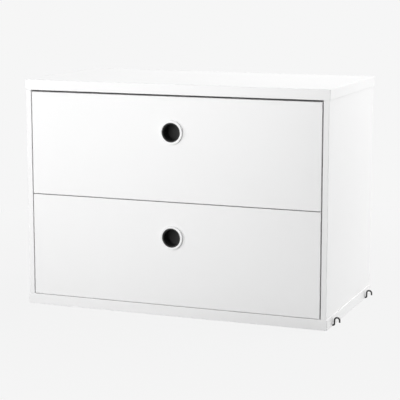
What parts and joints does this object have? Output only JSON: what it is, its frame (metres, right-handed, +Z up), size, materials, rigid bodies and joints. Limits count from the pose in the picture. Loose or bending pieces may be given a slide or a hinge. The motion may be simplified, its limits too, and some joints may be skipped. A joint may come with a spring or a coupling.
{
  "type": "storage drawer cabinet",
  "caption": "White box cabinet for compact discs with inset drawers one above the other, round finger pulls, ball runners and wire hooks for hanging.",
  "frame": {"origin": "middle of the flat underside of the bottom board, which lies in z = 0", "axes": "+X across the front to the right as seen from the front, +Y from the front to the back, so the drawers open towards -Y, +Z up"},
  "size_m": [0.6078, 0.304, 0.42],
  "materials": {
    "white_lacquer": "white satin lacquer on fibreboard, opaque, with no grain showing",
    "white_back": "white painted hardboard",
    "white_box": "white lacquer, duller than the outside",
    "white_ring": "white, satin gloss",
    "black_cup": "fine matt black",
    "black_wire": "black lacquered steel wire",
    "zinc_steel": "zinc-plated sheet steel",
    "cage_steel": "thin spring steel, dull",
    "polished_balls": "polished steel",
    "screw_steel": "zinc-plated",
    "beech": "bare beech"
  },
  "bodies": {
    "cabinet": {"back_panel": "white_back", "bottom_panel": "white_lacquer", "cabinet_rail_screws": "screw_steel", "carcass_dowels": "beech", "front_left_hook": "black_wire", "front_right_hook": "black_wire", "hook_screws": "screw_steel", "left_side_panel": "white_lacquer", "lower_left_cabinet_rail": "zinc_steel", "lower_right_cabinet_rail": "zinc_steel", "rear_left_hook": "black_wire", "rear_right_hook": "black_wire", "right_side_panel": "white_lacquer", "top_panel": "white_lacquer", "upper_left_cabinet_rail": "zinc_steel", "upper_right_cabinet_rail": "zinc_steel"},
    "upper_drawer": {"upper_bottom_screws": "screw_steel", "upper_box_back": "white_box", "upper_box_bottom": "white_box", "upper_box_dowels": "beech", "upper_cup_screws": "screw_steel", "upper_drawer_front": "white_lacquer", "upper_drawer_rail_screws": "screw_steel", "upper_left_box_side": "white_box", "upper_left_drawer_rail": "zinc_steel", "upper_pull_cup": "black_cup", "upper_pull_ring": "white_ring", "upper_right_box_side": "white_box", "upper_right_drawer_rail": "zinc_steel"},
    "upper_left_cage": {"upper_left_ball_cage": "cage_steel", "upper_left_balls": "polished_balls"},
    "upper_right_cage": {"upper_right_ball_cage": "cage_steel", "upper_right_balls": "polished_balls"},
    "lower_drawer": {"lower_bottom_screws": "screw_steel", "lower_box_back": "white_box", "lower_box_bottom": "white_box", "lower_box_dowels": "beech", "lower_cup_screws": "screw_steel", "lower_drawer_front": "white_lacquer", "lower_drawer_rail_screws": "screw_steel", "lower_left_box_side": "white_box", "lower_left_drawer_rail": "zinc_steel", "lower_pull_cup": "black_cup", "lower_pull_ring": "white_ring", "lower_right_box_side": "white_box", "lower_right_drawer_rail": "zinc_steel"},
    "lower_left_cage": {"lower_left_ball_cage": "cage_steel", "lower_left_balls": "polished_balls"},
    "lower_right_cage": {"lower_right_ball_cage": "cage_steel", "lower_right_balls": "polished_balls"}
  },
  "joints": [
    {"name": "upper_drawer_slide", "type": "slide", "parent": "cabinet", "child": "upper_drawer", "axis": [0, -1, 0], "range_m": [0, 0.175]},
    {"name": "upper_left_cage_slide", "type": "slide", "parent": "cabinet", "child": "upper_left_cage", "axis": [0, -1, 0], "range_m": [0, 0.0875]},
    {"name": "upper_right_cage_slide", "type": "slide", "parent": "cabinet", "child": "upper_right_cage", "axis": [0, -1, 0], "range_m": [0, 0.0875]},
    {"name": "lower_drawer_slide", "type": "slide", "parent": "cabinet", "child": "lower_drawer", "axis": [0, -1, 0], "range_m": [0, 0.175]},
    {"name": "lower_left_cage_slide", "type": "slide", "parent": "cabinet", "child": "lower_left_cage", "axis": [0, -1, 0], "range_m": [0, 0.0875]},
    {"name": "lower_right_cage_slide", "type": "slide", "parent": "cabinet", "child": "lower_right_cage", "axis": [0, -1, 0], "range_m": [0, 0.0875]}
  ],
  "couplings": [
    {"joint": "upper_left_cage_slide", "follows": "upper_drawer_slide", "ratio": 0.5},
    {"joint": "upper_right_cage_slide", "follows": "upper_drawer_slide", "ratio": 0.5},
    {"joint": "lower_left_cage_slide", "follows": "lower_drawer_slide", "ratio": 0.5},
    {"joint": "lower_right_cage_slide", "follows": "lower_drawer_slide", "ratio": 0.5}
  ]
}
